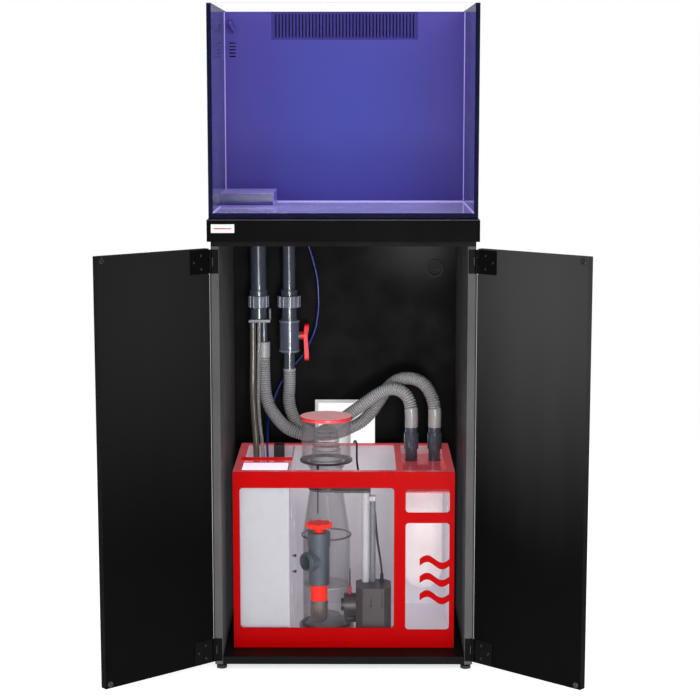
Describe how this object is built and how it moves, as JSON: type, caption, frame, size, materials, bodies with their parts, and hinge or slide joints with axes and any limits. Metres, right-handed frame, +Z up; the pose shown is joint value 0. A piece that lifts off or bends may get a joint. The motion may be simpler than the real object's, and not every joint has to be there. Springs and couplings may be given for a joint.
{
  "type": "aquarium on stand",
  "caption": "Rimmed glass aquarium with a rear weir, on a two-door black cabinet that holds a red-framed sump, a protein skimmer, drain pipes and hoses.",
  "frame": {"origin": "on the floor, at the middle of the footprint with both doors open as stored", "axes": "+Z up, the doors and the front glass face -Y, +X to the right as seen from the front"},
  "size_m": [1.0692, 0.6998, 1.518],
  "materials": {
    "glass_clear": "clear polished glass",
    "glass_back": "blue-backed glass",
    "silicone": "black silicone",
    "weir_acrylic": "gloss",
    "clear_acrylic": "clear gloss",
    "pipe_dark": "satin",
    "trim_black": "satin",
    "foam": "matte foam",
    "board_black": "black satin laminate",
    "hinge_black": "black satin",
    "steel": "brushed",
    "rubber_black": "matte",
    "pvc_clear_grey": "translucent gloss",
    "nut_grey": "gloss",
    "valve_clear": "translucent gloss",
    "ball_white": "gloss",
    "handle_red": "gloss",
    "hose_grey": "ribbed satin",
    "tube_blue": "gloss",
    "hose_brown": "translucent satin",
    "hose_clear": "clear gloss",
    "sump_acrylic": "translucent gloss",
    "red_gloss": "gloss",
    "red_clear": "translucent gloss",
    "felt": "felt",
    "white_gloss": "gloss",
    "skimmer_clear": "clear gloss",
    "wedge_grey": "satin",
    "elbow_brown": "satin",
    "pump_grey": "satin",
    "pump_black": "satin",
    "base_grey": "gloss",
    "cable_black": "matte"
  },
  "bodies": {
    "stand": {"glass_front": "glass_clear", "glass_back": "glass_back", "glass_left": "glass_clear", "glass_right": "glass_clear", "glass_base": "glass_clear", "silicone_seams": "silicone", "weir_panel": "weir_acrylic", "corner_box": "clear_acrylic", "standpipes": "pipe_dark", "bulkheads": "pipe_dark", "trim_frame": "trim_black", "levelling_mat": "foam", "cabinet_top": "board_black", "cabinet_bottom": "board_black", "side_left": "board_black", "side_right": "board_black", "back_panel": "board_black", "hinge_plates": "hinge_black", "hinge_pins": "steel", "feet": "rubber_black", "cable_grommet": "rubber_black", "downpipes": "pvc_clear_grey", "union_bodies": "pvc_clear_grey", "union_nuts": "nut_grey", "valve_body": "valve_clear", "drain_hose_left": "hose_grey", "drain_hose_right": "hose_grey", "hose_tails": "pvc_clear_grey", "topup_tube": "tube_blue", "return_hose": "hose_brown", "clear_hose": "hose_clear", "sump_shell": "sump_acrylic", "sump_fascia": "red_gloss", "sump_rim": "red_clear", "sock_plate": "red_clear", "filter_sock": "felt", "reservoir": "white_gloss", "return_pump": "pump_black", "skimmer_base": "base_grey", "skimmer_body": "skimmer_clear", "bubble_plate": "white_gloss", "wedge_body": "wedge_grey", "wedge_union": "elbow_brown", "pump_body": "pump_grey", "silencer": "white_gloss", "pump_cable": "cable_black", "cable_coil": "cable_black", "plug": "cable_black"},
    "left_door": {"door_left": "board_black", "hinge_leaves_left": "hinge_black"},
    "right_door": {"door_right": "board_black", "hinge_leaves_right": "hinge_black"},
    "valve_lever": {"valve_ball": "ball_white", "valve_handle": "handle_red"},
    "cup": {"skimmer_cup": "skimmer_clear"},
    "lid": {"skimmer_lid": "red_gloss"},
    "wedge_dial": {"wedge_knob": "handle_red"},
    "comb": {"weir_comb": "weir_acrylic"},
    "nozzle": {"return_nozzle": "weir_acrylic"},
    "wheel": {"impeller": "white_gloss"}
  },
  "joints": [
    {"name": "left_door_hinge", "type": "hinge", "parent": "stand", "child": "left_door", "pos_m": [-0.298, -0.15655, 0.5], "axis": [0, 0, 1], "range_deg": [-15, 139]},
    {"name": "right_door_hinge", "type": "hinge", "parent": "stand", "child": "right_door", "pos_m": [0.298, -0.15655, 0.5], "axis": [0, 0, -1], "range_deg": [-15, 139]},
    {"name": "valve_turn", "type": "hinge", "parent": "stand", "child": "valve_lever", "pos_m": [-0.139, 0.28495, 0.721], "axis": [-1, 0, 0], "range_deg": [0, 90]},
    {"name": "cup_lift", "type": "slide", "parent": "stand", "child": "cup", "axis": [0, 0, 1], "range_m": [0, 0.06]},
    {"name": "lid_lift", "type": "slide", "parent": "cup", "child": "lid", "axis": [0, 0, 1], "range_m": [0, 0.06]},
    {"name": "wedge_turn", "type": "hinge", "parent": "stand", "child": "wedge_dial", "pos_m": [-0.059, -0.03406, 0.3], "axis": [0, 0, 1], "range_deg": [0, 180]},
    {"name": "comb_lift", "type": "slide", "parent": "stand", "child": "comb", "axis": [0, 0, 1], "range_m": [0, 0.07]},
    {"name": "nozzle_swivel", "type": "hinge", "parent": "stand", "child": "nozzle", "pos_m": [-0.276, 0.23594, 1.485], "axis": [0, 1, 0], "range_deg": [-35, 35]},
    {"name": "impeller_spin", "type": "hinge", "parent": "stand", "child": "wheel", "pos_m": [0.02, -0.02705, 0.12], "axis": [1, 0, 0], "continuous": true}
  ]
}
